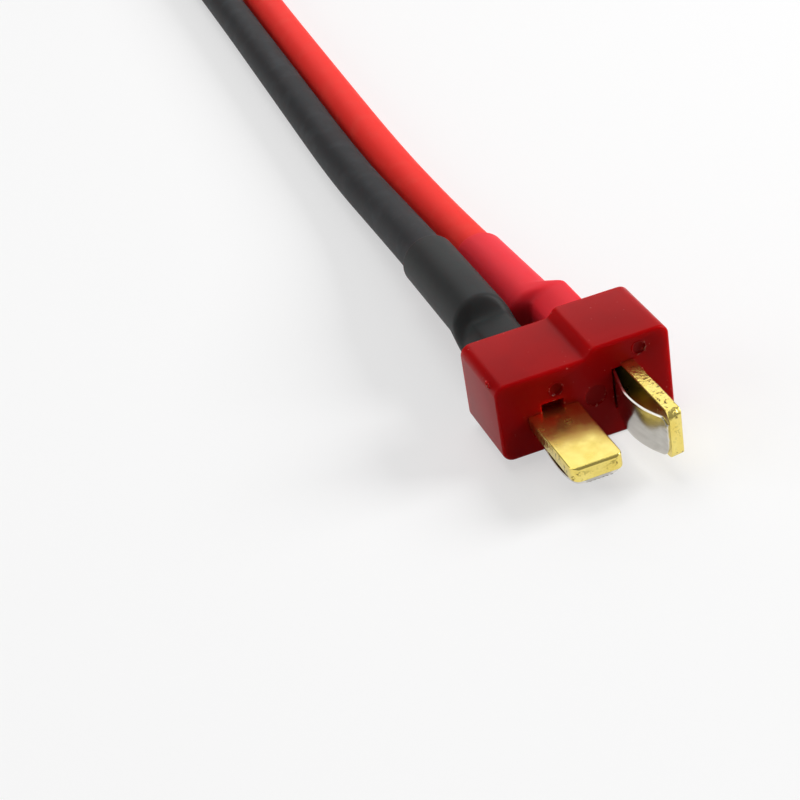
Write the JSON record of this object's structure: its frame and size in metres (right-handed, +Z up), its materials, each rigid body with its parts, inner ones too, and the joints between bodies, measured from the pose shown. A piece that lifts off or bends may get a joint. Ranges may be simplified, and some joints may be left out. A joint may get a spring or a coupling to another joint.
{
  "type": "t plug battery connector",
  "caption": "Battery connector plug: stepped moulded housing, a flat and an upright sprung blade, and insulated lead wires under heat-shrink sleeves.",
  "frame": {"origin": "centre in plan of the connector without its cords (housing, blades with their tabs, springs and solder), at the level that the tall half of the housing stands on", "axes": "+X across the housing from its low half to its tall half, -Y the way the blades point and plug in, +Y the way the wires leave, +Z up"},
  "size_m": [0.0166, 0.171, 0.0092],
  "materials": {
    "red_nylon": "smooth moulded nylon, slightly translucent",
    "gold_plated_brass": "thin bright gold plating",
    "spring_steel": "bright rolled strip",
    "solder": "satin tin alloy",
    "copper": "fine bare strands",
    "black_heat_shrink": "satin shrunk tube",
    "red_heat_shrink": "satin shrunk tube",
    "black_silicone": "matt soft insulation",
    "red_silicone": "matt soft insulation"
  },
  "bodies": {
    "root": {"housing": "red_nylon", "negative_blade": "gold_plated_brass", "positive_blade": "gold_plated_brass", "negative_spring": "spring_steel", "positive_spring": "spring_steel", "negative_solder": "solder", "positive_solder": "solder", "negative_strands": "copper", "positive_strands": "copper", "negative_sleeve": "black_heat_shrink", "positive_sleeve": "red_heat_shrink", "negative_wire": "black_silicone", "positive_wire": "red_silicone", "negative_tinned_end": "solder", "positive_tinned_end": "solder"}
  },
  "joints": []
}
